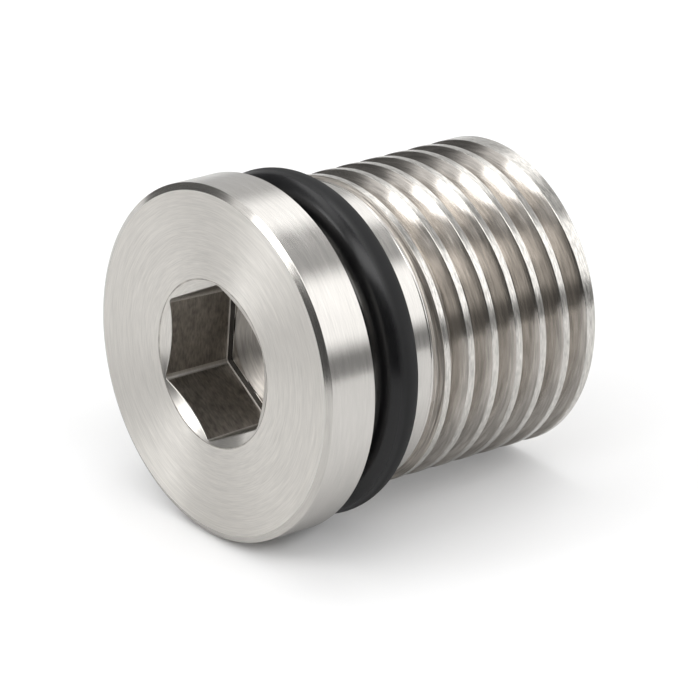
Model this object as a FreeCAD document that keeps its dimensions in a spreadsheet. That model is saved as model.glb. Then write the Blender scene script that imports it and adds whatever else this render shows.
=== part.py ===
import FreeCAD, Part
import math
import os

import Sketcher

# Hex socket plug: a turned steel plug with a flange head, a broached hex socket, a neck that carries an
# O-ring, a plain collar and an external right-hand thread. Millimetres. The plug stands on the end face of
# its thread: the origin is the centre of that face and +Z runs up the axis to the head.

# Driving dimensions
SIZES = {
    "overall_length": 16.55,
    "flange_overhang": 0.255,
    "flange_thickness": 2.57,
    "face_chamfer_width": 0.31,
    "face_chamfer_height": 0.18,
    "neck_diameter": 11.84,
    "neck_length": 3.21,
    "neck_corner": 0.4,
    "collar_diameter": 14.0,
    "collar_length": 1.12,
    "runout_angle": 20.0,
    "core_margin": 0.15,
    "thread_diameter": 14.2875,
    "thread_pitch": 1.4111,
    "thread_flank_angle": 30.0,
    "thread_crest_width": 0.34,
    "thread_bevel": 0.2875,
    "thread_end_land": 0.014,
    "end_chamfer": 0.18,
    "socket_across_flats": 6.35,
    "socket_depth": 3.42,
    "socket_draft": 2.1,
    "socket_foot": 0.2,
    "socket_mouth_diameter": 7.7,
    "socket_mouth_angle": 125.0,
    "socket_floor_diameter": 5.9,
    "socket_floor_angle": 118.0,
    "ring_section": 1.98,
    "ring_bore_clearance": 0.025,
    "ring_side_clearance": 0.02,
}

# Sizes that follow from the driving dimensions
DERIVED = {
    "neck_radius": "sizes.neck_diameter / 2",
    "ring_radius": "sizes.neck_radius + sizes.ring_bore_clearance + sizes.ring_section / 2",
    "flange_radius": "sizes.ring_radius + sizes.ring_section / 2 + sizes.flange_overhang",
    "collar_radius": "sizes.collar_diameter / 2",
    "thread_radius": "sizes.thread_diameter / 2",
    "underhead_level": "sizes.overall_length - sizes.flange_thickness",
    "collar_top": "sizes.underhead_level - sizes.neck_length",
    "collar_foot": "sizes.collar_top - sizes.collar_length",
    "groove_mouth": "sizes.thread_pitch - sizes.thread_crest_width",
    "groove_depth": "sizes.groove_mouth / 2 / tan(sizes.thread_flank_angle * 1deg)",
    "root_radius": "sizes.thread_radius - sizes.groove_depth",
    "core_radius": "min(sizes.neck_radius; sizes.root_radius) - sizes.core_margin",
    "collar_inner_radius": "sizes.core_radius - sizes.core_margin",
    "groove_start": "sizes.groove_mouth / 2 + sizes.thread_end_land",
    "bevel_foot": "sizes.collar_foot - sizes.thread_bevel / 2",
    "ring_level": "sizes.collar_top + sizes.ring_side_clearance + sizes.ring_section / 2",
}


def make_sheet(doc):
    """Write the driving and derived sizes to the spreadsheet, one alias each."""
    sheet = doc.addObject("Spreadsheet::Sheet", "sizes")
    for row, (name, value) in enumerate(SIZES.items(), start=1):
        sheet.set(f"A{row}", name)
        sheet.set(f"B{row}", str(value))
        sheet.setAlias(f"B{row}", name)
    for row, (name, rule) in enumerate(DERIVED.items(), start=len(SIZES) + 1):
        sheet.set(f"A{row}", name)
        sheet.set(f"B{row}", "=" + rule.replace("sizes.", ""))
        sheet.setAlias(f"B{row}", name)
    doc.recompute()
    return sheet


def origin_plane(body, role):
    """Return one of the body's own origin planes."""
    return next(item for item in body.Origin.OriginFeatures if item.Role == role)


def new_sketch(body, name, role):
    """Add a sketch to the body on one of its origin planes."""
    sketch = body.newObject("Sketcher::SketchObject", name)
    sketch.AttachmentSupport = [(origin_plane(body, role), "")]
    sketch.MapMode = "FlatFace"
    return sketch


def value_of(doc, rule):
    """Evaluate an expression on the sheet's sizes as a plain number."""
    result = doc.sizes.evalExpression(rule.replace("sizes.", ""))
    return float(getattr(result, "Value", result))


def draw_outline(sketch, corners):
    """Draw a closed outline of straight lines whose corners follow the sheet.

    Each corner is a pair of expressions: its distance across and its distance up from the sketch's origin.
    """
    doc = sketch.Document
    points = [FreeCAD.Vector(value_of(doc, across), value_of(doc, up), 0) for across, up in corners]
    count = len(points)
    for index in range(count):
        sketch.addGeometry(Part.LineSegment(points[index], points[(index + 1) % count]), False)
    for index in range(count):
        sketch.addConstraint(Sketcher.Constraint("Coincident", index, 2, (index + 1) % count, 1))
    for index, (across, up) in enumerate(corners):
        for kind, rule, value in (("DistanceX", across, points[index].x), ("DistanceY", up, points[index].y)):
            number = sketch.addConstraint(Sketcher.Constraint(kind, -1, 1, index, 1, value))
            sketch.setExpression(f"Constraints[{number}]", rule)


def revolve(body, sketch, name, kind="PartDesign::Revolution"):
    """Turn a profile sketch once round the body's axis."""
    feature = body.newObject(kind, name)
    feature.Profile = sketch
    feature.ReferenceAxis = (sketch, ["V_Axis"])
    feature.Angle = 360
    return feature


def cut_volume(body, feature, before):
    """Check that a cutting feature took material away, and return the volume that is left."""
    body.Document.recompute()
    after = body.Shape.Volume
    if not after < before:
        raise RuntimeError(f"{feature.Label} cuts nothing")
    return after


def grow_volume(body, feature, before):
    """Check that an adding feature brought material, and return the volume that there is now."""
    body.Document.recompute()
    after = body.Shape.Volume
    if not after > before:
        raise RuntimeError(f"{feature.Label} adds nothing")
    return after


def turn_blank(body):
    """Turn the outer form: flange with its face chamfer, neck, core and bevelled thread cylinder."""
    sketch = new_sketch(body, "blank_profile", "XZ_Plane")
    draw_outline(sketch, [
        ("0", "0"),
        ("sizes.thread_radius - sizes.end_chamfer", "0"),
        ("sizes.thread_radius", "sizes.end_chamfer"),
        ("sizes.thread_radius", "sizes.bevel_foot"),
        ("sizes.thread_radius - sizes.thread_bevel", "sizes.bevel_foot + sizes.thread_bevel"),
        ("sizes.core_radius", "sizes.bevel_foot + sizes.thread_bevel"),
        ("sizes.core_radius", "sizes.collar_top - sizes.collar_length / 2"),
        ("sizes.neck_radius", "sizes.collar_top - sizes.collar_length / 2"),
        ("sizes.neck_radius", "sizes.underhead_level - sizes.neck_corner"),
        ("sizes.neck_radius + sizes.neck_corner", "sizes.underhead_level"),
        ("sizes.flange_radius", "sizes.underhead_level"),
        ("sizes.flange_radius", "sizes.overall_length - sizes.face_chamfer_height"),
        ("sizes.flange_radius - sizes.face_chamfer_width", "sizes.overall_length"),
        ("0", "sizes.overall_length"),
    ])
    return revolve(body, sketch, "turned_blank")


def cut_thread(body):
    """Cut the thread's helical groove from near the end face up past the collar's place."""
    sketch = new_sketch(body, "groove_profile", "YZ_Plane")
    outer = "sizes.thread_radius + sizes.groove_depth"
    draw_outline(sketch, [
        ("sizes.root_radius", "sizes.groove_start"),
        (outer, "sizes.groove_start - sizes.groove_mouth"),
        (outer, "sizes.groove_start + sizes.groove_mouth"),
    ])
    groove = body.newObject("PartDesign::SubtractiveHelix", "thread_groove")
    groove.Profile = sketch
    groove.ReferenceAxis = (sketch, ["V_Axis"])
    groove.Mode = "pitch-height-angle"
    groove.setExpression("Pitch", "sizes.thread_pitch")
    groove.setExpression("Height", "sizes.collar_foot + sizes.collar_length / 2 - sizes.groove_start")
    groove.LeftHanded = False
    return groove


def add_runout(body):
    """Add the shallow cone on which the groove runs out towards the collar."""
    sketch = new_sketch(body, "runout_profile", "XZ_Plane")
    outer = "(sizes.thread_radius - sizes.thread_bevel / 2)"
    length = f"({outer} - sizes.collar_inner_radius) / tan(sizes.runout_angle * 1deg)"
    draw_outline(sketch, [
        ("sizes.collar_inner_radius", f"sizes.collar_foot - {length}"),
        (outer, "sizes.collar_foot"),
        ("sizes.collar_inner_radius", "sizes.collar_foot"),
    ])
    return revolve(body, sketch, "thread_runout")


def add_collar(body):
    """Add the plain collar that the ring rests against."""
    sketch = new_sketch(body, "collar_profile", "XZ_Plane")
    draw_outline(sketch, [
        ("sizes.collar_inner_radius", "sizes.collar_foot"),
        ("sizes.collar_radius", "sizes.collar_foot"),
        ("sizes.collar_radius", "sizes.collar_top"),
        ("sizes.collar_inner_radius", "sizes.collar_top"),
    ])
    return revolve(body, sketch, "collar")


def draw_hexagon(sketch, across_flats):
    """Draw a hexagon on the axis with two flats square to X, each side held by its distance from the axis."""
    doc = sketch.Document
    corner_radius = value_of(doc, across_flats) / 2 / math.cos(math.radians(30))
    turns = [math.radians(angle) for angle in range(30, 390, 60)]
    points = [FreeCAD.Vector(math.cos(turn), math.sin(turn), 0) * corner_radius for turn in turns]
    for index in range(6):
        sketch.addGeometry(Part.LineSegment(points[index], points[(index + 1) % 6]), False)
    sketch.addGeometry(Part.Circle(FreeCAD.Vector(0, 0, 0), FreeCAD.Vector(0, 0, 1), corner_radius), True)
    for index in range(6):
        sketch.addConstraint(Sketcher.Constraint("Coincident", index, 2, (index + 1) % 6, 1))
        sketch.addConstraint(Sketcher.Constraint("PointOnObject", index, 1, 6))
        if index:
            sketch.addConstraint(Sketcher.Constraint("Equal", 0, index))
    sketch.addConstraint(Sketcher.Constraint("Coincident", 6, 3, -1, 1))
    sketch.addConstraint(Sketcher.Constraint("Vertical", 5))
    number = sketch.addConstraint(Sketcher.Constraint("Radius", 6, corner_radius))
    sketch.setExpression(f"Constraints[{number}]", f"{across_flats} / 2 / cos(30deg)")


def cut_socket(body):
    """Cut the hex socket's walls, full size at their foot and slightly wider at the mouth."""
    walls = new_sketch(body, "socket_outline", "XY_Plane")
    draw_hexagon(walls, "sizes.socket_across_flats")
    walls.setExpression("AttachmentOffset.Base.z", "sizes.overall_length - sizes.socket_depth")
    wall_cut = body.newObject("PartDesign::Pocket", "socket_walls")
    wall_cut.Profile = walls
    wall_cut.setExpression("Length", "sizes.socket_depth")
    wall_cut.setExpression("TaperAngle", "sizes.socket_draft * 1deg")
    wall_cut.Reversed = True
    return wall_cut


def cut_socket_foot(body):
    """Slope the foot of the socket's walls in to the floor."""
    foot = new_sketch(body, "foot_outline", "XY_Plane")
    draw_hexagon(foot, "sizes.socket_across_flats")
    foot.setExpression("AttachmentOffset.Base.z", "sizes.overall_length - sizes.socket_depth")
    foot_cut = body.newObject("PartDesign::Pocket", "socket_foot")
    foot_cut.Profile = foot
    foot_cut.setExpression("Length", "sizes.socket_foot")
    foot_cut.TaperAngle = -45
    return foot_cut


def cut_mouth(body):
    """Countersink the socket's mouth."""
    sketch = new_sketch(body, "mouth_profile", "XZ_Plane")
    radius = "sizes.socket_mouth_diameter / 2"
    draw_outline(sketch, [
        ("0", "sizes.overall_length"),
        ("0", f"sizes.overall_length - {radius} / tan(sizes.socket_mouth_angle * 0.5deg)"),
        (radius, "sizes.overall_length"),
    ])
    return revolve(body, sketch, "socket_mouth", "PartDesign::Groove")


def cut_floor(body):
    """Cut the drill point in the socket's floor."""
    sketch = new_sketch(body, "floor_profile", "XZ_Plane")
    level = "(sizes.overall_length - sizes.socket_depth - sizes.socket_foot)"
    radius = "sizes.socket_floor_diameter / 2"
    draw_outline(sketch, [
        ("0", level),
        ("0", f"{level} - {radius} / tan(sizes.socket_floor_angle * 0.5deg)"),
        (radius, level),
    ])
    return revolve(body, sketch, "socket_floor", "PartDesign::Groove")


def make_plug_body(doc):
    """Build the steel plug."""
    body = doc.addObject("PartDesign::Body", "PlugBody")
    body.Label = "plug_body"
    turn_blank(body)
    doc.recompute()
    volume = cut_volume(body, cut_thread(body), body.Shape.Volume)
    for add in (add_runout, add_collar):
        volume = grow_volume(body, add(body), volume)
    for cut in (cut_socket, cut_socket_foot, cut_mouth, cut_floor):
        volume = cut_volume(body, cut(body), volume)
    return body


def make_o_ring(doc):
    """Build the O-ring, which sits round the neck against the collar."""
    ring = doc.addObject("Part::Torus", "ORing")
    ring.Label = "o_ring"
    ring.setExpression("Radius1", "sizes.ring_radius")
    ring.setExpression("Radius2", "sizes.ring_section / 2")
    ring.setExpression("Placement.Base.z", "sizes.ring_level")
    return ring


def check_document(doc, parts):
    """Stop if any object of the document failed, or if a part is empty or not valid."""
    failed = [item.Label for item in doc.Objects if "Invalid" in item.State or "Error" in item.State]
    if failed:
        raise RuntimeError("failed objects: " + ", ".join(failed))
    for part in parts:
        if part.Shape.isNull() or not part.Shape.isValid() or len(part.Shape.Solids) != 1:
            raise RuntimeError(f"{part.Label} is not one valid solid")


def main():
    """Build the plug and write one file for each piece."""
    doc = FreeCAD.newDocument("HexSocketPlug")
    make_sheet(doc)
    parts = [make_plug_body(doc), make_o_ring(doc)]
    doc.recompute()
    check_document(doc, parts)
    os.makedirs("parts", exist_ok=True)
    for part in parts:
        part.Shape.exportStep(f"parts/{part.Label}.step")
        print(f"{part.Label}: {part.Shape.Volume:.2f} mm3, {len(part.Shape.Faces)} faces")


main()
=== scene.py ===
"""Hex socket plug: the dressed model, its plain studio and the camera, in metres in the part's own frame."""

import logging
import math
from dataclasses import dataclass
from enum import Enum

import bpy
import numpy as np
from mathutils import Matrix, Vector


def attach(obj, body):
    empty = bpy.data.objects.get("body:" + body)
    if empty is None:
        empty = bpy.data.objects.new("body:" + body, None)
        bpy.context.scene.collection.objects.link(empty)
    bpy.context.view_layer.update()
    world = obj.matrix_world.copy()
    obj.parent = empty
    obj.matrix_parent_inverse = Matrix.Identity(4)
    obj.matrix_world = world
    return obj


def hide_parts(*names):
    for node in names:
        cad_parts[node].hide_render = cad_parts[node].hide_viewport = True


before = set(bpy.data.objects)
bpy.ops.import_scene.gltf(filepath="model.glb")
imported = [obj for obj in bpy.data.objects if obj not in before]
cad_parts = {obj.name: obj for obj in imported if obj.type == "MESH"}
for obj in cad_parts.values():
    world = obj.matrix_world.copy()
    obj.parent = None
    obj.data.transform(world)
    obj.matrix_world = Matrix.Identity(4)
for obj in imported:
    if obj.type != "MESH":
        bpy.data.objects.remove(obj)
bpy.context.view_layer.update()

MM = 0.001
MERGE_STEP = 0.0004 * MM
# Each turn of the thread has 4 rows on its lower flank, 3 in the root, 4 on the upper flank and 3 on the crest.
THREAD_ROWS = 14
FIRST_CREST_ROW = 11
NOISE_LOW, NOISE_HIGH = 0.3, 0.7
BROAD_IN_HEIGHT, FINE_IN_COLOUR = 0.6, 0.6
ACROSS_MARKS = 0.25
SMOOTH = "SMOOTHSTEP"
LOG = logging.getLogger("plug")
Row = tuple[np.ndarray, np.ndarray]
Values = float | np.ndarray
Colour = tuple[float, float, float]
Place = tuple[float, float, float]
Input = bpy.types.NodeSocket | float


class Zone(Enum):
    """The surfaces of the plug that are finished by different tools, and strips darkened or brightened to paint shade
    and highlight.
    """

    FACED = 0
    TURNED = 1
    THREAD = 2
    BROACHED = 3
    DRILLED = 4
    RUNOUT = 5
    FOOT = 6
    CREST = 7
    CHAMFER = 8


def add_object(name: str, data: bpy.types.ID) -> bpy.types.Object:
    """Make an object.

    Args:
        name: Its name.
        data: Its mesh or camera.

    Returns:
        The object, linked to the scene.
    """
    item = bpy.data.objects.new(name, data)
    bpy.context.scene.collection.objects.link(item)
    return item


@dataclass
class Lattice:
    """Rows of points round the plug's axis, joined into one mesh."""

    columns: int

    def __post_init__(self) -> None:
        """Start with no points and no faces."""
        self.points: list[np.ndarray] = []
        self.normals: list[np.ndarray] = []
        self.faces: list[np.ndarray] = []
        self.zones: list[int] = []
        self.rows = 0

    def add_row(self, row: Row) -> int:
        """Add one row of points.

        Args:
            row: The points and the surface normals, one of each for every column.

        Returns:
            The row's number.
        """
        self.points.append(row[0])
        self.normals.append(row[1])
        self.rows += 1
        return self.rows - 1

    def join(self, upper: int, lower: int, zone: Zone | np.ndarray, last: int | None = None) -> None:
        """Join two rows with faces that look away from the axis when the second row lies below the first.

        Args:
            upper: The number of the first row.
            lower: The number of the second row.
            zone: The finish of the faces, or its number for each column.
            last: The column to stop before. All columns round to the start, if left out.
        """
        count = self.columns
        left = np.arange(count if last is None else last)
        right = (left + 1) % count
        quads = (upper * count + left, lower * count + left, lower * count + right, upper * count + right)
        self.faces.append(np.stack(quads, -1))
        self.zones += [zone.value] * len(left) if isinstance(zone, Zone) else zone[left].tolist()

    def join_seam(self, rows: tuple[int, int, int, int], zone: Zone) -> None:
        """Join the last column to the first between rows that differ, as on a thread.

        Args:
            rows: Upper and lower row at the last column, then upper and lower row at the first column.
            zone: The finish of the face.
        """
        count = self.columns
        end = count - 1
        upper, lower, next_upper, next_lower = rows
        self.faces.append(np.array([[upper * count + end, lower * count + end,
                                     next_lower * count, next_upper * count]]))
        self.zones.append(zone.value)

    def build(self, name: str, materials: list[bpy.types.Material]) -> bpy.types.Object:
        """Merge the points that coincide and make the object.

        Args:
            name: The object's name.
            materials: One material for each zone.

        Returns:
            The object, linked to the scene.
        """
        points = np.concatenate(self.points)
        normals = np.concatenate(self.normals)
        keys = np.round(points / MERGE_STEP).astype(np.int64)
        _, first, inverse = np.unique(keys, axis=0, return_index=True, return_inverse=True)
        inverse = inverse.reshape(-1)
        merged = np.zeros((len(first), 3))
        np.add.at(merged, inverse, normals)
        merged /= np.maximum(np.linalg.norm(merged, axis=1, keepdims=True), 1e-9)
        faces, zones = [], []
        for face, zone in zip(inverse[np.concatenate(self.faces)].tolist(), self.zones):
            ring = [vertex for index, vertex in enumerate(face) if vertex != face[index - 1]]
            if len(set(ring)) == len(ring) and len(ring) > 2:
                faces.append(ring)
                zones.append(zone)
        mesh = bpy.data.meshes.new(name)
        mesh.from_pydata(points[first].tolist(), [], faces)
        mesh.polygons.foreach_set("material_index", zones)
        mesh.polygons.foreach_set("use_smooth", [True] * len(faces))
        mesh.normals_split_custom_set_from_vertices(merged.tolist())
        for material in materials:
            mesh.materials.append(material)
        return add_object(name, mesh)


class Shading:
    """Small helpers that add and link shader nodes."""

    def __init__(self, tree: bpy.types.NodeTree) -> None:
        """Keep the node tree that the helpers work on."""
        self.tree = tree

    def node(self, kind: str, values: dict | None = None, **settings: object) -> bpy.types.Node:
        """Add a node.

        Args:
            kind: The node's type.
            values: Inputs by name or number: a socket to link from, or a plain value.
            **settings: The node's own properties.

        Returns:
            The node.
        """
        made = self.tree.nodes.new(kind)
        for key, value in settings.items():
            setattr(made, key, value)
        for key, value in (values or {}).items():
            if isinstance(value, bpy.types.NodeSocket):
                self.tree.links.new(value, made.inputs[key])
            else:
                made.inputs[key].default_value = value
        return made

    def math(self, operation: str, *inputs: Input) -> bpy.types.NodeSocket:
        """Add a math node and return its output."""
        return self.node("ShaderNodeMath", dict(enumerate(inputs)), operation=operation).outputs[0]

    def link(self, source: bpy.types.NodeSocket, node: bpy.types.Node, key: str) -> None:
        """Link a socket to a node's input."""
        self.tree.links.new(source, node.inputs[key])

    def noise(self, vector: bpy.types.NodeSocket, scale: float, detail: float) -> bpy.types.NodeSocket:
        """Add a noise texture and return its value."""
        values = {"Vector": vector, "Scale": scale, "Detail": detail}
        return self.node("ShaderNodeTexNoise", values).outputs["Fac"]


def new_material(name: str) -> tuple[bpy.types.Material, Shading, bpy.types.Node]:
    """Start a material.

    Args:
        name: The material's name.

    Returns:
        The material, the helper for its tree, and its shader.
    """
    made = bpy.data.materials.new(name)
    made.use_nodes = True
    return made, Shading(made.node_tree), made.node_tree.nodes["Principled BSDF"]


def new_group(name: str, inputs: dict[str, float], outputs: tuple[str, ...]) -> tuple[Shading, dict, bpy.types.Node]:
    """Start a shader node group.

    Args:
        name: The group's name.
        inputs: The default of each numeric input.
        outputs: The names of the numeric outputs.

    Returns:
        The helper for its tree, its input sockets by name, and its output node.
    """
    tree = bpy.data.node_groups.new(name, "ShaderNodeTree")
    for key, value in inputs.items():
        tree.interface.new_socket(name=key, in_out="INPUT", socket_type="NodeSocketFloat").default_value = value
    for key in outputs:
        tree.interface.new_socket(name=key, in_out="OUTPUT", socket_type="NodeSocketFloat")
    shading = Shading(tree)
    source = shading.node("NodeGroupInput")
    return shading, {key: source.outputs[key] for key in inputs}, shading.node("NodeGroupOutput")


def tool_marks_group() -> bpy.types.NodeTree:
    """Build the group of fine marks that a tool leaves while the plug turns.

    The marks run round the axis, or along a helix where Lead isn't zero. They are rings on faces square to the
    axis where Rings is 1, and level lines alone where it is 0. Fine and Broad are the marks' sizes in metres, and
    Turns is how often they break off in a radian.

    Returns:
        The node group, with outputs Height, Streak and Cloud between 0 and 1.
    """
    inputs = {"Lead": 0.0, "Fine": 0.00003, "Broad": 0.0002, "Rings": 1.0, "Turns": 2.5}
    shading, given, out = new_group("tool_marks", inputs, ("Height", "Streak", "Cloud"))
    place = shading.node("ShaderNodeTexCoord").outputs["Object"]
    split = shading.node("ShaderNodeSeparateXYZ", {0: place}).outputs
    radius = shading.math("SQRT", shading.math("ADD", shading.math("MULTIPLY", split[0], split[0]),
                                               shading.math("MULTIPLY", split[1], split[1])))
    east, north = (shading.math("DIVIDE", split[index], radius) for index in (0, 1))
    turn = shading.math("ARCTAN2", split[1], split[0])
    level = shading.math("SUBTRACT", split[2], shading.math("MULTIPLY", given["Lead"],
                                                            shading.math("DIVIDE", turn, math.tau)))

    def streaks(size: bpy.types.NodeSocket, stretch: float) -> bpy.types.NodeSocket:
        """Add noise that is drawn out along the marks.

        Args:
            size: The marks' size in metres.
            stretch: How much more often than Turns they break off.

        Returns:
            The noise, between 0 and 1.
        """
        across = shading.math("DIVIDE", shading.math("MULTIPLY", radius, given["Rings"]), size)
        along = shading.math("DIVIDE", level, size)
        reach = shading.math("MULTIPLY", given["Turns"], stretch)
        vector = shading.node("ShaderNodeCombineXYZ", {
            0: across, 1: along, 2: shading.math("MULTIPLY", east, reach)})
        noise = shading.node("ShaderNodeTexNoise", {
            "Vector": vector.outputs[0], "W": shading.math("MULTIPLY", north, reach), "Scale": 1.0,
            "Detail": 2.0}, noise_dimensions="4D").outputs["Fac"]
        return shading.node("ShaderNodeMapRange", {
            "Value": noise, "From Min": NOISE_LOW, "From Max": NOISE_HIGH}).outputs[0]

    fine = streaks(given["Fine"], 1.0)
    broad = streaks(given["Broad"], 0.5)
    rest = shading.math("MULTIPLY", fine, 1 - BROAD_IN_HEIGHT)
    shading.link(shading.math("MULTIPLY_ADD", broad, BROAD_IN_HEIGHT, rest), out, "Height")
    shading.link(fine, out, "Streak")
    shading.link(broad, out, "Cloud")
    return shading.tree


def card_group() -> bpy.types.NodeTree:
    """Build the group that masks a flat four-sided card by the planes through its edges and the plug.

    Returns:
        The node group, with output Mask between 0 and 1.
    """
    tree = bpy.data.node_groups.new("card_mask", "ShaderNodeTree")
    edges = [f"Edge {index}" for index in range(1, 5)]
    for key in ["Direction", *edges]:
        tree.interface.new_socket(name=key, in_out="INPUT", socket_type="NodeSocketVector")
    tree.interface.new_socket(name="Soft", in_out="INPUT", socket_type="NodeSocketFloat")
    tree.interface.new_socket(name="Mask", in_out="OUTPUT", socket_type="NodeSocketFloat")
    shading = Shading(tree)
    given = shading.node("NodeGroupInput").outputs
    lower = shading.math("MULTIPLY", given["Soft"], -1.0)
    mask = None
    for key in edges:
        inside = shading.node("ShaderNodeVectorMath", {0: given["Direction"], 1: given[key]}, operation="DOT_PRODUCT")
        step = shading.node("ShaderNodeMapRange", {"Value": inside.outputs["Value"], "From Min": lower,
                                                   "From Max": given["Soft"]}, interpolation_type=SMOOTH)
        mask = shading.math("MULTIPLY", mask, step.outputs[0]) if mask else step.outputs[0]
    shading.node("NodeGroupOutput", {"Mask": mask})
    return tree


@dataclass(frozen=True)
class SteelFinish:
    """One machined finish of the bright steel, some darkened to paint shade. Lead, the marks' sizes and their depth
    are in millimetres.

    The colour varies by the contrast and the roughness by the spread. Lead is the marks' rise in a turn, turns is how
    often they break off in a radian, and rings is 0 where the marks on level faces aren't rings.
    """

    name: str
    colour: Colour
    roughness: float
    spread: float
    fine: float
    broad: float
    depth: float
    anisotropy: float = 0.0
    lead: float = 0.0
    contrast: float = 0.1
    turns: float = 4.0
    rings: float = 1.0

    def material(self, marks: bpy.types.NodeTree) -> bpy.types.Material:
        """Make the material.

        Args:
            marks: The group of tool marks.

        Returns:
            The metal, its highlight drawn out across the marks where it is anisotropic.
        """
        made, shading, shader = new_material(self.name)
        group = shading.node("ShaderNodeGroup", node_tree=marks)
        for key, value in (("Lead", self.lead * MM), ("Fine", self.fine * MM), ("Broad", self.broad * MM),
                           ("Rings", self.rings), ("Turns", self.turns)):
            group.inputs[key].default_value = value
        grain = shading.math("MULTIPLY_ADD", group.outputs["Streak"], FINE_IN_COLOUR,
                             shading.math("MULTIPLY", group.outputs["Cloud"], 1 - FINE_IN_COLOUR))
        ramp = shading.node("ShaderNodeMix", {"Factor": grain}, data_type="RGBA")
        ramp.inputs["A"].default_value = (*[value * (1 - self.contrast) for value in self.colour], 1)
        ramp.inputs["B"].default_value = (*[min(value * (1 + self.contrast), 1) for value in self.colour], 1)
        rough = shading.math("MULTIPLY_ADD", group.outputs["Cloud"], self.spread, self.roughness - self.spread / 2)
        bump = shading.node("ShaderNodeBump", {"Strength": 1.0, "Distance": self.depth * MM,
                                               "Height": group.outputs["Height"]})
        tangent = shading.node("ShaderNodeTangent", direction_type="RADIAL", axis="Z")
        shading.link(ramp.outputs["Result"], shader, "Base Color")
        shading.link(rough, shader, "Roughness")
        shading.link(bump.outputs["Normal"], shader, "Normal")
        shading.link(tangent.outputs["Tangent"], shader, "Tangent")
        shader.inputs["Metallic"].default_value = 1.0
        shader.inputs["Anisotropic"].default_value = self.anisotropy
        shader.inputs["Anisotropic Rotation"].default_value = ACROSS_MARKS
        return made


@dataclass(frozen=True)
class RubberFinish:
    """The satin black rubber of the ring, duller on its side by the collar.

    Dull is the roughness below the dull level, and roughness the one above the bright level. Levels and the grain's
    depth are in millimetres, and the noises' scales are in cycles to a metre.
    """

    name: str = "seal_rubber_satin"
    colour: Colour = (0.007, 0.007, 0.0077)
    roughness: float = 0.23
    dull: float = 0.7
    specular: float = 0.4
    dull_level: float = 11.85
    bright_level: float = 12.3
    noise_detail: float = 3.0
    grain_scale: float = 14000.0
    grain_strength: float = 0.7
    grain_depth: float = 0.004
    bloom_scale: float = 900.0
    bloom_colours: tuple[float, float] = (0.75, 1.35)
    bloom_roughness: float = 0.08

    def material(self) -> bpy.types.Material:
        """Make the rubber.

        Returns:
            A dark satin material with a fine grain and a faint bloom.
        """
        made, shading, shader = new_material(self.name)
        place = shading.node("ShaderNodeTexCoord").outputs["Object"]
        grain = shading.noise(place, self.grain_scale, self.noise_detail)
        bloom = shading.noise(place, self.bloom_scale, self.noise_detail)
        mix = shading.node("ShaderNodeMix", {"Factor": bloom}, data_type="RGBA")
        for key, share in zip("AB", self.bloom_colours):
            mix.inputs[key].default_value = (*[value * share for value in self.colour], 1)
        level = shading.node("ShaderNodeSeparateXYZ", {0: place}).outputs[2]
        side = shading.node("ShaderNodeMapRange", {
            "Value": level, "From Min": self.dull_level * MM, "From Max": self.bright_level * MM,
            "To Min": self.dull, "To Max": self.roughness}, interpolation_type=SMOOTH).outputs[0]
        rough = shading.math("ADD", side, shading.math("MULTIPLY_ADD", bloom, 2 * self.bloom_roughness,
                                                       -self.bloom_roughness))
        bump = shading.node("ShaderNodeBump", {"Strength": self.grain_strength, "Distance": self.grain_depth * MM,
                                               "Height": grain})
        shading.link(mix.outputs["Result"], shader, "Base Color")
        shading.link(rough, shader, "Roughness")
        shading.link(bump.outputs["Normal"], shader, "Normal")
        shader.inputs["Specular IOR Level"].default_value = self.specular
        return made


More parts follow.
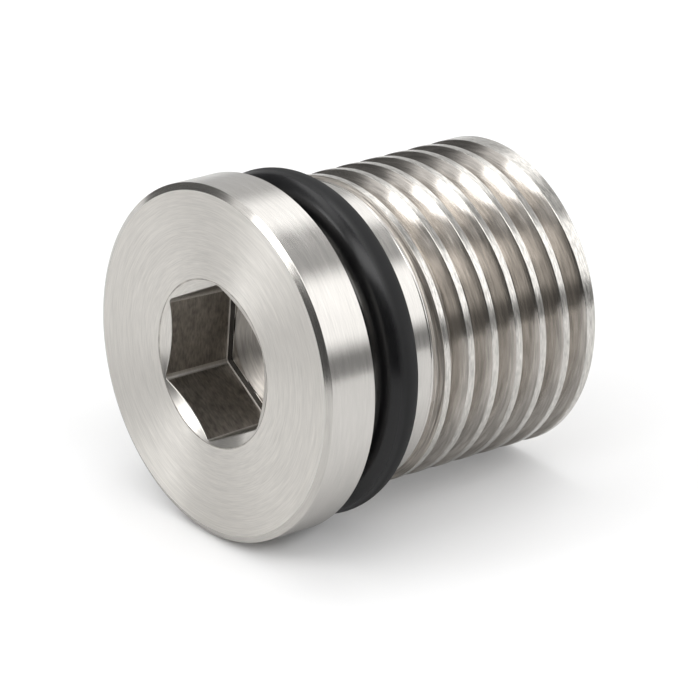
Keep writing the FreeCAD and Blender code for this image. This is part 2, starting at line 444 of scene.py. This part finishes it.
@dataclass
class PlugBody:
    """The turned steel plug. Lengths in millimetres, angles in degrees, levels measured up from the end face.

    The score's levels are over the collar's foot. The rows of the drill point and of the mouth, the countersink, are
    shares of the way up them, and the drill's rim is a share of its radius.
    """

    length: float = 16.55
    flange_radius: float = 8.175
    flange_thickness: float = 2.57
    chamfer_width: float = 0.31
    chamfer_height: float = 0.18
    neck_radius: float = 5.92
    neck_length: float = 3.21
    neck_corner: float = 0.4
    collar_radius: float = 7.0
    collar_length: float = 1.12
    score: float = 0.03
    score_levels: tuple[float, ...] = (0.13, 0.1, 0.07)
    runout_angle: float = 20.0
    thread_radius: float = 7.14375
    pitch: float = 1.4111
    flank_angle: float = 30.0
    crest_width: float = 0.34
    root_round: float = 0.137
    end_land: float = 0.014
    end_chamfer: float = 0.18
    across_flats: float = 6.35
    socket_depth: float = 3.42
    socket_draft: float = 2.1
    socket_foot: float = 0.2
    socket_corner: float = 0.22
    mouth_radius: float = 3.85
    mouth_angle: float = 125.0
    drill_radius: float = 2.95
    drill_angle: float = 118.0
    drill_rows: tuple[float, ...] = (0, 0.3, 0.65, 0.975)
    drill_rim: float = 1.004
    foot_groove: float = 0.06
    mouth_rows: tuple[float, ...] = (0.1, 0.35, 0.65)
    mouth_rim: float = 0.92
    edge: float = 0.03
    fine_edge: float = 0.01
    neck_edge: float = 0.1
    grooves: int = 8
    columns: int = 432

    def __post_init__(self) -> None:
        """Set out the columns, even and then more beside the socket's corners, and the collar's levels."""
        step = math.tau / self.columns
        even = np.arange(self.columns) * step
        extra = [k * math.tau / 6 + share * step for k in range(6) for share in (-1.5, -0.5, 0.5, 1.5)]
        self.turn = np.sort(np.concatenate([even, np.array(extra) % math.tau]))
        self.theta = self.turn + math.tau / 4
        self.collar_top = self.length - self.flange_thickness - self.neck_length
        self.collar_foot = self.collar_top - self.collar_length

    def ring(self, radius: Values, level: Values, normal: tuple[Values, Values, Values]) -> Row:
        """Return one row of points round the axis.

        Args:
            radius: Distance from the axis, one value or one for each column.
            level: Height above the end face, one value or one for each column.
            normal: The normal's parts outwards, upwards and round the axis, each one value or one for each column.

        Returns:
            The points in metres and their normals.
        """
        cos, sin = np.cos(self.theta), np.sin(self.theta)
        ones = np.ones_like(cos)
        points = np.stack([cos * radius, sin * radius, ones * level], -1) * MM
        out, up, round_ = (np.asarray(part) * ones for part in normal)
        normals = np.stack([out * cos - round_ * sin, out * sin + round_ * cos, up], -1)
        return points, normals / np.linalg.norm(normals, axis=1, keepdims=True)

    def hexagon(self, flats: float, corner: float) -> tuple[np.ndarray, np.ndarray, np.ndarray]:
        """Return the outline of a hexagon with rounded corners.

        Args:
            flats: Distance across its flats.
            corner: The radius of its corners.

        Returns:
            For each column the outline's distance from the axis, the turn from the column's own direction to the
            outline's normal, and whether it lies on a rounded corner.
        """
        half = flats / 2
        sixth = math.tau / 6
        off = (self.theta + sixth / 2) % sixth - sixth / 2
        centre = (half - corner) / math.cos(sixth / 2)
        lean = sixth / 2 - np.abs(off)
        rounded = np.abs(off) > math.atan((half - corner) * math.tan(sixth / 2) / half)
        reach = np.maximum(corner**2 - (centre * np.sin(lean)) ** 2, 0)
        arc = centre * np.cos(lean) + np.sqrt(reach)
        radius = np.where(rounded, arc, half / np.cos(off))
        swing = np.arctan2(-arc * np.sin(lean), arc * np.cos(lean) - centre)
        normal_turn = np.where(rounded, np.sign(off) * (lean + swing), -off)
        return radius, normal_turn, rounded

    def socket_rows(self) -> list[tuple[Row, Zone | np.ndarray]]:
        """Set out the socket from the drill point up to the rim of its countersink.

        Returns:
            The rows, each with the finish that follows it.
        """
        floor = self.length - self.socket_depth - self.socket_foot
        fine = self.fine_edge
        drill = math.radians(self.drill_angle / 2)
        depth = self.drill_radius / math.tan(drill)
        cone = (-math.cos(drill), math.sin(drill), 0)
        rows = [(self.ring(share * self.drill_radius, floor - depth * (1 - share), cone), Zone.DRILLED)
                for share in self.drill_rows]
        low, low_turn, _ = self.hexagon(self.across_flats - 2 * self.socket_foot, self.socket_corner)
        high, high_turn, rounded = self.hexagon(self.across_flats, self.socket_corner)
        # The rounded corners take the brighter faced finish: painted highlight lines along the socket's corners.
        walls_painted_corners = np.where(rounded, Zone.FACED.value, Zone.BROACHED.value)
        rows.append((self.ring(self.drill_radius * self.drill_rim, floor, (0, 1, 0)), Zone.DRILLED))
        # The narrow strip at the floor's edge takes the brighter faced finish: a highlight line, partly from its
        # upward normals and partly painted.
        rows.append((self.ring(low - self.foot_groove, floor, (0, 1, 0)), Zone.FACED))
        # The foot strip takes a near-black finish: painted shade in the crease where the socket's sides meet its
        # floor.
        rows.append((self.ring(low - fine, floor - fine, (-0.4, 0.9, 0)), Zone.FOOT))

        def wall(share: float, turn: np.ndarray, up: float) -> Row:
            """Set out one row between the foot's lower and upper edge.

            Args:
                share: How far up the foot it lies.
                turn: The turn of the outline's normal at each column.
                up: The upward part of its normal.

            Returns:
                The row.
            """
            radius = low + (high - low) * share
            flat = math.sqrt(1 - up * up)
            return self.ring(radius, floor + self.socket_foot * share,
                             (-np.cos(turn) * flat, up, -np.sin(turn) * flat))

        rows += [(wall(share, turn, up), zone) for share, turn, up, zone in (
            (0.08, low_turn, 0.7, Zone.FOOT), (0.72, high_turn, 0.7, Zone.DRILLED),
            (0.95, high_turn, 0.5, Zone.BROACHED))]
        foot = floor + self.socket_foot
        lean = math.radians(self.mouth_angle / 2)
        draft = math.tan(math.radians(self.socket_draft))
        widen = draft / np.cos(high_turn)
        top = (self.length * math.tan(lean) - self.mouth_radius + high - widen * foot) / (math.tan(lean) - widen)
        inward = (-np.cos(high_turn), draft, -np.sin(high_turn))
        rows += [(self.ring(high + widen * (level - foot), level, inward), zone) for level, zone in (
            (foot + 2 * fine, walls_painted_corners), (foot + (top - foot) * 0.5, walls_painted_corners),
            (top - np.minimum(self.edge, (self.length - top) / 2), Zone.FACED))]
        rim = high + widen * (top - foot)
        sink = (-math.cos(lean), math.sin(lean), 0)
        for share in (*self.mouth_rows, self.mouth_rim):
            radius = rim + (self.mouth_radius - rim) * share
            # The last strip up to the rim takes the darker broached finish: a painted shade line round the
            # countersink's rim.
            zone = Zone.BROACHED if share == self.mouth_rim else Zone.FACED
            rows.append((self.ring(radius, top + (self.length - top) * share, sink), zone))
        return rows

    def profile(self, corners: list[tuple[float, float, float, Zone]]) -> list[tuple[Row, Zone]]:
        """Turn a line of corners into rows, with each corner softened.

        Args:
            corners: Radius, level, softened width and the finish of the run that follows each corner.

        Returns:
            The rows with the finish that follows each.
        """
        rows = []
        for start, end in zip(corners, corners[1:]):
            along = np.array([end[0] - start[0], end[1] - start[1]])
            span = np.linalg.norm(along)
            along /= span
            normal = (-along[1], along[0], 0)
            for share, zone in ((start[2], start[3]), (span - end[2], end[3])):
                radius, level = start[0] + along[0] * share, start[1] + along[1] * share
                rows.append((self.ring(radius, level, normal), zone))
        return rows

    def thread_rows(self) -> list[tuple[Row, np.ndarray]]:
        """Set out the thread from the end chamfer up to the collar, with THREAD_ROWS rows to a turn.

        Returns:
            The rows, each with the columns where it lies on the run-out cone.
        """
        low, high, outer = self.end_chamfer, self.collar_foot, self.thread_radius
        slope = math.tan(math.radians(self.flank_angle))
        run = math.tan(math.radians(self.runout_angle))
        half = (self.pitch - self.crest_width) / 2
        tangent = self.root_round * math.cos(math.radians(self.flank_angle))
        depth = (half - tangent) / slope + self.root_round / 2
        bevel = outer - self.collar_radius
        lead = self.pitch / math.tau
        edge = self.edge
        rows = []

        def centre(index: int) -> np.ndarray:
            """Return the level of a groove's middle at each column."""
            return half + self.end_land + self.pitch * index + lead * self.turn

        def mouth(index: int) -> np.ndarray:
            """Return how far the groove's edges lie from its middle, less where it starts."""
            return np.maximum(half - slope * depth * (1 - start_share(index)), 0)

        def start_share(index: int) -> np.ndarray:
            """Return how much of the groove's depth is reached, from 0 at its start."""
            return np.clip((index * math.tau + self.turn) / (math.tau / 6), 0, 1)

        def cone(level: np.ndarray) -> np.ndarray:
            """Return the radius of the run-out cone."""
            return self.collar_radius - (self.collar_foot - level) * run

        def put(level: np.ndarray, radius: np.ndarray, out: Values, up: Values,
                coned: bool | np.ndarray = False) -> None:
            """Add a row, held between the end chamfer and the collar.

            Args:
                level: The row's level at each column.
                radius: Its distance from the axis.
                out: The outward part of its normal.
                up: The upward part of its normal.
                coned: Where it lies on the run-out cone.
            """
            blank = np.minimum(outer, outer - (level - (high - bevel)))
            bevelled = blank < radius
            radius = np.minimum(radius, blank)
            out, up = (np.where(bevelled, math.sqrt(0.5), part) for part in (out, up))
            radius = np.where(level >= high, self.collar_radius, np.where(level <= low, outer, radius))
            out = np.where(level <= low, 1.0, out)
            up = np.where(level <= low, 0.0, up)
            row = self.ring(radius, np.clip(level, low, high), (out, up, -up * lead / radius))
            rows.append((row, coned & np.ones(len(row[0]), bool)))

        for index in range(-1, self.grooves):
            middle, wide, raised = centre(index), mouth(index), depth * (1 - start_share(index))
            reach = cone(middle) - outer - raised + half / slope
            filled = cone(middle) > outer - depth / 2
            lower, upper = (np.minimum(np.maximum(reach / (1 / slope - side * run), tangent),
                                       np.maximum(wide - edge, 0)) for side in (-1, 1))
            for side, meet in ((-1, lower), (1, upper)):
                rim = np.maximum(wide - edge / 2, meet)
                stops = [rim + (meet - rim) * share for share in (0, 1 / 3, 2 / 3, 1)]
                for stop in stops if side < 0 else stops[::-1]:
                    radius = np.minimum(outer, outer + raised - (half - stop) / slope)
                    put(middle + side * stop, radius, slope_part(self.flank_angle, 0),
                        -side * slope_part(self.flank_angle, 1), filled & (side < 0))
                if side < 0:
                    for share in (0.25, 0.5, 0.75):
                        off = -lower + (lower + upper) * share
                        held = np.clip(off, -tangent, tangent)
                        arc = outer + raised - depth + self.root_round - np.sqrt(self.root_round**2 - held**2)
                        on_cone = cone(middle + off) > arc
                        radius = np.minimum(outer, np.maximum(arc, cone(middle + off)))
                        lean = held / self.root_round
                        out = np.where(on_cone, slope_part(self.runout_angle, 1), np.sqrt(1 - lean**2))
                        up = np.where(on_cone, -slope_part(self.runout_angle, 0), -lean)
                        put(middle + off, radius, out, up, on_cone)
            start, stop = middle + wide + edge / 2, centre(index + 1) - mouth(index + 1) - edge / 2
            for level in (start, np.clip(high - bevel, start, stop), stop):
                put(level, np.full_like(level, outer), 1.0, 0.0)
        return rows

    def build(self, materials: list[bpy.types.Material]) -> bpy.types.Object:
        """Build the plug as one mesh.

        Args:
            materials: One material for each zone.

        Returns:
            The object.
        """
        lattice = Lattice(len(self.turn))
        under = self.length - self.flange_thickness
        edge, fine = self.edge, self.fine_edge
        side = self.profile([
            (self.mouth_radius, self.length, edge, Zone.FACED),
            (self.flange_radius - self.chamfer_width, self.length, edge / 2, Zone.CHAMFER),
            (self.flange_radius, self.length - self.chamfer_height, edge / 2, Zone.TURNED),
            (self.flange_radius, under, edge, Zone.TURNED),
            (self.neck_radius + self.neck_corner, under, self.neck_edge, Zone.TURNED),
            (self.neck_radius, under - self.neck_corner, self.neck_edge, Zone.TURNED),
            (self.neck_radius, self.collar_top, edge, Zone.TURNED),
            (self.collar_radius, self.collar_top, edge * 1.5, Zone.TURNED),
            (self.collar_radius, self.collar_foot + self.score_levels[0], fine, Zone.TURNED),
            (self.collar_radius - self.score, self.collar_foot + self.score_levels[1], fine, Zone.TURNED),
            (self.collar_radius, self.collar_foot + self.score_levels[2], fine, Zone.TURNED),
            (self.collar_radius, self.collar_foot, edge / 2, Zone.TURNED),
        ])
        rows = self.socket_rows() + side
        numbers = [lattice.add_row(row) for row, _ in rows]
        for upper, lower, (_, zone) in zip(numbers, numbers[1:], rows):
            lattice.join(upper, lower, zone)
        turns = self.thread_rows()
        thread = [lattice.add_row(row) for row, _ in turns]
        lattice.join(numbers[-1], thread[-1], Zone.TURNED)
        for index, (lower, upper) in enumerate(zip(thread, thread[1:])):
            zone = Zone.CREST if index % THREAD_ROWS >= FIRST_CREST_ROW else Zone.THREAD
            coned = turns[index][1] | turns[index + 1][1]
            lattice.join(upper, lower, np.where(coned, Zone.RUNOUT.value, zone.value), lattice.columns - 1)
            if index + 1 + THREAD_ROWS < len(thread):
                ahead = thread[index + THREAD_ROWS], thread[index + 1 + THREAD_ROWS]
                lattice.join_seam((upper, lower, ahead[1], ahead[0]), zone)
        end = self.profile([
            (self.thread_radius, self.end_chamfer, edge / 2, Zone.TURNED),
            (self.thread_radius - self.end_chamfer, 0, edge / 2, Zone.FACED),
            (0, 0, 0, Zone.FACED),
        ])
        numbers = [thread[0]] + [lattice.add_row(row) for row, _ in end]
        for upper, lower, zone in zip(numbers, numbers[1:], [Zone.TURNED] + [zone for _, zone in end]):
            lattice.join(upper, lower, zone)
        return lattice.build("steel_plug", materials)


def slope_part(angle: float, part: int) -> float:
    """Return the sine (part 0) or the cosine (part 1) of an angle in degrees."""
    return (math.sin, math.cos)[part](math.radians(angle))


@dataclass
class SealRing:
    """The rubber ring round the neck. Lengths in millimetres."""

    radius: float = 6.935
    section: float = 1.98
    level: float = 11.78
    around: int = 288
    across: int = 64

    def build(self, material: bpy.types.Material) -> bpy.types.Object:
        """Build the ring as a closed mesh of its own.

        Args:
            material: The rubber.

        Returns:
            The object.
        """
        turn = np.arange(self.around) * math.tau / self.around
        tilt = np.arange(self.across) * math.tau / self.across
        turn, tilt = np.meshgrid(turn, tilt, indexing="ij")
        out = self.radius + self.section / 2 * np.cos(tilt)
        level = self.level + self.section / 2 * np.sin(tilt)
        points = np.stack([out * np.cos(turn), out * np.sin(turn), level], -1).reshape(-1, 3) * MM
        index = np.arange(self.around * self.across).reshape(self.around, self.across)
        ahead, up = np.roll(index, -1, 0), np.roll(index, -1, 1)
        faces = np.stack([index, ahead, np.roll(ahead, -1, 1), up], -1).reshape(-1, 4)
        mesh = bpy.data.meshes.new("rubber_ring")
        mesh.from_pydata(points.tolist(), [], faces.tolist())
        mesh.polygons.foreach_set("use_smooth", [True] * len(faces))
        mesh.materials.append(material)
        return add_object("rubber_ring", mesh)


@dataclass(frozen=True)
class Card:
    """A flat four-sided softbox or dark card beside the plug, given by its corners as the plug sees them.

    Each corner is a turn from the camera's side towards the right and a height over the floor, in degrees.
    """

    name: str
    corners: tuple[tuple[float, float], ...]
    level: float
    soft: float = 0.03


@dataclass
class Studio:
    """The pale floor, the cards round it and the camera. The plug lies on its flange's rim and its thread.

    Up is square to the floor. The rims are the radius and level of the two circles that the plug lies on, in
    millimetres, and middle is the level over which the floor is centred. The camera sees the floor lifted by a share
    of plain white, a painted glow that lightens its shadows, rising from lift_from to lift_to millimetres away from
    where the flange touches it, so that a darker contact shadow stays there. Metal mirrors the floor in a greyer
    tone, painted shade on its reflection, and glossy rays see a smaller painted glow. The horizon is in degrees,
    its softness is a sine, and the clip is in metres.
    """

    up: Place = (0.867, -0.492, 0.0745)
    rims: tuple[tuple[float, float], ...] = ((8.18, 13.98), (7.14375, 0.18))
    middle: float = 8.3
    floor_radius: float = 0.1
    floor_sides: int = 96
    rim_steps: int = 721
    floor_roughness: float = 0.9
    floor_specular: float = 0.1
    floor_colour: float = 0.9
    mirrored_shade_colour: float = 0.7
    mirrored_lift: float = 0.05
    floor_lift: float = 0.19
    lift_from: float = 2.4
    lift_to: float = 3.6
    room: float = 0.28
    horizon: float = -3.5
    horizon_soft: float = 0.015
    camera_at: Place = (-1.013, -199.243, 160.177)
    camera_right: Place = (-0.26484, -0.58298, -0.76812)
    camera_up: Place = (0.96430, -0.16011, -0.21096)
    camera_back: Place = (0.0, -0.79656, 0.60456)
    lens: float = 285.38
    sensor: float = 36.0
    clip: tuple[float, float] = (0.01, 10)

    def axes(self) -> tuple[Vector, Vector, Vector]:
        """Set out the floor's own axes.

        Returns:
            Its upward direction, the way to the camera along it, and the way to the right.
        """
        up = Vector(self.up).normalized()
        back = Vector(self.camera_back)
        front = (back - back.dot(up) * up).normalized()
        return up, front, up.cross(front)

    def build_floor(self) -> None:
        """Lay a round white floor that shows only from above."""
        up, front, right = self.axes()
        touch = [min((Vector((radius * math.cos(turn), radius * math.sin(turn), level))
                      for turn in np.linspace(0, math.tau, self.rim_steps)), key=up.dot)
                 for radius, level in self.rims]
        contact = min(point.dot(up) for point in touch)
        middle = Vector((0, 0, self.middle))
        foot = (middle + up * (contact - middle.dot(up))) * MM
        rim = [foot + (front * math.cos(turn) + right * math.sin(turn)) * self.floor_radius
               for turn in np.linspace(0, math.tau, self.floor_sides, endpoint=False)]
        mesh = bpy.data.meshes.new("floor")
        mesh.from_pydata(rim, [], [list(range(self.floor_sides))])
        if mesh.polygons[0].normal.dot(up) < 0:
            mesh.flip_normals()
        made, shading, shader = new_material("white_paper")
        shader.inputs["Roughness"].default_value = self.floor_roughness
        shader.inputs["Specular IOR Level"].default_value = self.floor_specular
        path = shading.node("ShaderNodeLightPath").outputs
        seen = path["Is Camera Ray"]
        place = shading.node("ShaderNodeTexCoord").outputs["Object"]
        # Away from the flange's touch the camera sees the floor lifted by plain white, a painted glow that lightens
        # its shadows; near the touch it is held back, keeping a darker contact shadow.
        away = shading.node("ShaderNodeVectorMath", {0: place, 1: touch[0] * MM}, operation="DISTANCE")
        lift = shading.node("ShaderNodeMapRange", {
            "Value": away.outputs["Value"], "From Min": self.lift_from * MM, "From Max": self.lift_to * MM,
            "To Max": self.floor_lift}, interpolation_type=SMOOTH).outputs[0]
        # Glossy rays see a smaller painted glow, and every ray but the camera's sees the floor greyer: painted shade
        # on it as the metal mirrors it and as it throws light back.
        share = shading.math("MULTIPLY_ADD", path["Is Glossy Ray"], self.mirrored_lift,
                             shading.math("MULTIPLY", seen, lift))
        tone = shading.node("ShaderNodeMix", {"Factor": seen}, data_type="RGBA")
        tone.inputs["A"].default_value = (*[self.mirrored_shade_colour] * 3, 1)
        tone.inputs["B"].default_value = (*[self.floor_colour] * 3, 1)
        shading.link(tone.outputs["Result"], shader, "Base Color")
        white = shading.node("ShaderNodeEmission", {"Color": (1, 1, 1, 1), "Strength": 1.0})
        pale = shading.node("ShaderNodeMixShader", {0: share, 1: shader.outputs[0], 2: white.outputs[0]})
        behind = shading.node("ShaderNodeNewGeometry").outputs["Backfacing"]
        clear = shading.node("ShaderNodeBsdfTransparent")
        mix = shading.node("ShaderNodeMixShader", {0: behind, 1: pale.outputs[0], 2: clear.outputs[0]})
        shading.link(mix.outputs[0], shading.tree.nodes["Material Output"], "Surface")
        mesh.materials.append(made)
        add_object("floor", mesh)

    def direction(self, side: float, height: float) -> Vector:
        """Point from the plug into the room.

        Args:
            side: The turn from the camera's side towards the right, in degrees.
            height: The height over the floor, in degrees.

        Returns:
            The direction.
        """
        up, front, right = self.axes()
        side, height = math.radians(side), math.radians(height)
        return (front * math.cos(side) + right * math.sin(side)) * math.cos(height) + up * math.sin(height)

    def build_world(self, cards: tuple[Card, ...]) -> None:
        """Surround everything with the room, its cards and the white ground, all white to the camera.

        Args:
            cards: The softboxes and dark cards.
        """
        world = bpy.data.worlds.new("studio")
        world.use_nodes = True
        shading = Shading(world.node_tree)
        mask_group = card_group()
        view = shading.node("ShaderNodeTexCoord").outputs["Generated"]
        height = shading.node("ShaderNodeVectorMath", {0: view, 1: Vector(self.up).normalized()},
                              operation="DOT_PRODUCT").outputs["Value"]
        line = math.sin(math.radians(self.horizon))
        level = shading.node("ShaderNodeMapRange", {
            "Value": height, "From Min": line - self.horizon_soft, "From Max": line + self.horizon_soft,
            "To Min": 1.0, "To Max": self.room}, interpolation_type=SMOOTH).outputs[0]
        for card in cards:
            corners = [self.direction(*corner) for corner in card.corners]
            group = shading.node("ShaderNodeGroup", node_tree=mask_group)
            shading.link(view, group, "Direction")
            group.inputs["Soft"].default_value = card.soft
            middle = sum(corners, Vector())
            for index, corner in enumerate(corners):
                edge = corner.cross(corners[(index + 1) % len(corners)]).normalized()
                group.inputs[f"Edge {index + 1}"].default_value = edge if edge.dot(middle) > 0 else -edge
            mix = shading.node("ShaderNodeMix", {"Factor": group.outputs["Mask"], "A": level,
                                                 "B": card.level}, data_type="FLOAT")
            level = mix.outputs["Result"]
        seen = shading.node("ShaderNodeLightPath").outputs["Is Camera Ray"]
        mix = shading.node("ShaderNodeMix", {"Factor": seen, "A": level, "B": 1.0}, data_type="FLOAT")
        shading.link(mix.outputs["Result"], shading.tree.nodes["Background"], "Color")
        bpy.context.scene.world = world

    def build_camera(self) -> None:
        """Stand the camera where the photograph was taken from."""
        data = bpy.data.cameras.new("camera")
        data.sensor_width = self.sensor
        data.lens = self.lens
        data.clip_start, data.clip_end = self.clip
        camera = add_object("camera", data)
        turn = Matrix((self.camera_right, self.camera_up, self.camera_back)).transposed().to_4x4()
        camera.matrix_world = Matrix.Translation(Vector(self.camera_at) * MM) @ turn
        bpy.context.scene.camera = camera


FINISHES = {
    Zone.FACED: SteelFinish("faced_steel", (0.695, 0.672, 0.634), roughness=0.31, spread=0.06, fine=0.04,
                            broad=0.15, depth=0.0012, anisotropy=0.92, contrast=0.14, turns=7.0),
    Zone.TURNED: SteelFinish("turned_steel", (0.66, 0.64, 0.61), roughness=0.2, spread=0.05, fine=0.04,
                             broad=0.2, depth=0.001, anisotropy=0.93, contrast=0.09, turns=8.0),
    Zone.THREAD: SteelFinish("thread_steel", (0.515, 0.485, 0.45), roughness=0.2, spread=0.05, fine=0.09,
                             broad=0.25, depth=0.004, anisotropy=0.93, lead=1.4111, contrast=0.35, turns=6.0),
    # The socket's broached sides and drilled floor are much darker than the other steel: partly their rougher tool
    # finish, partly painted shade of the recess.
    Zone.BROACHED: SteelFinish("broached_steel_painted_shade", (0.42, 0.395, 0.365), roughness=0.32, spread=0.08, fine=0.1,
                               broad=0.3, depth=0.003, contrast=0.45, turns=12.0, rings=0.0),
    Zone.DRILLED: SteelFinish("drilled_steel_painted_shade", (0.40, 0.375, 0.345), roughness=0.45, spread=0.1, fine=0.08,
                              broad=0.2, depth=0.003, contrast=0.35, turns=3.0),
    Zone.RUNOUT: SteelFinish("runout_steel", (0.48, 0.445, 0.405), roughness=0.38, spread=0.1, fine=0.06,
                             broad=0.13, depth=0.02, lead=1.4111, contrast=0.6, turns=5.0),
    # Near-black steel for the socket's foot: painted shade, not a finish of its own.
    Zone.FOOT: SteelFinish("foot_painted_shade", (0.05, 0.045, 0.04), roughness=0.5, spread=0.1, fine=0.05,
                           broad=0.2, depth=0.002, contrast=0.4),
    Zone.CREST: SteelFinish("crest_steel", (0.67, 0.65, 0.615), roughness=0.2, spread=0.1, fine=0.07,
                            broad=0.15, depth=0.006, anisotropy=0.85, lead=1.4111, contrast=0.35, turns=20.0),
    # A darker copy of the turned finish on the head's chamfer: painted shade outlining the head's edge.
    Zone.CHAMFER: SteelFinish("chamfer_steel_painted_shade", (0.58, 0.56, 0.53), roughness=0.21, spread=0.06, fine=0.03,
                              broad=0.08, depth=0.0015, anisotropy=0.9, contrast=0.15, turns=8.0),
}

CARDS = (
    Card("top_softbox", ((60, 60), (150, 58), (-120, 58), (-30, 60)), 0.5, 0.1),
    Card("left_high_softbox", ((-152, 38), (-70, 48), (-62, 72), (-150, 70)), 2.1, 0.08),
    Card("overhead_lamp", ((100, 67), (-172, 64), (-150, 80), (88, 79)), 5.5, 0.08),
    Card("front_softbox", ((-48, 31), (62, 30), (62, 60), (-48, 60)), 3.1, 0.06),
    Card("behind", ((153, -3), (-150, -3), (-150, 40), (150, 40)), 0.62, 0.1),
    Card("right_rear_fill", ((98, 28), (150, 30), (150, 64), (92, 64)), 0.5, 0.1),
    Card("right_softbox", ((130.6, 12.4), (119, -3), (53, 18), (61, 57)), 1.47, 0.11),
    Card("back_softbox", ((155.2, 6), (166, -3), (178, 54), (112, 74)), 1.45, 0.1),
    Card("left_softbox", ((-95, 10), (-62, 8), (-59, 46), (-101, 48)), 1.15, 0.05),
    Card("left_lamp", ((-81, 12), (-64.5, 10), (-63, 42), (-84, 44)), 5.5, 0.05),
    Card("front_left_dark_card", ((-58, -8), (25, -8), (25, 25), (-56, 29)), 0.05, 0.05),
    Card("back_left_dark_card", ((-150, -3), (-100, -3), (-102, 28), (-150, 32)), 0.13),
)


def main() -> None:
    """Build the plug, its ring and the studio, and report each piece."""
    logging.basicConfig(level=logging.INFO, format="%(name)s: %(message)s")
    bpy.context.scene.view_settings.view_transform = "Standard"
    marks = tool_marks_group()
    plug = PlugBody().build([FINISHES[zone].material(marks) for zone in Zone])
    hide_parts("plug_body")
    ring = SealRing().build(RubberFinish().material())
    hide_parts("o_ring")
    for item in (plug, ring):
        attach(item, "root")
        LOG.info("%s: %d faces", item.name, len(item.data.polygons))
    studio = Studio()
    studio.build_world(CARDS)
    studio.build_floor()
    studio.build_camera()


if __name__ == "__main__":
    main()
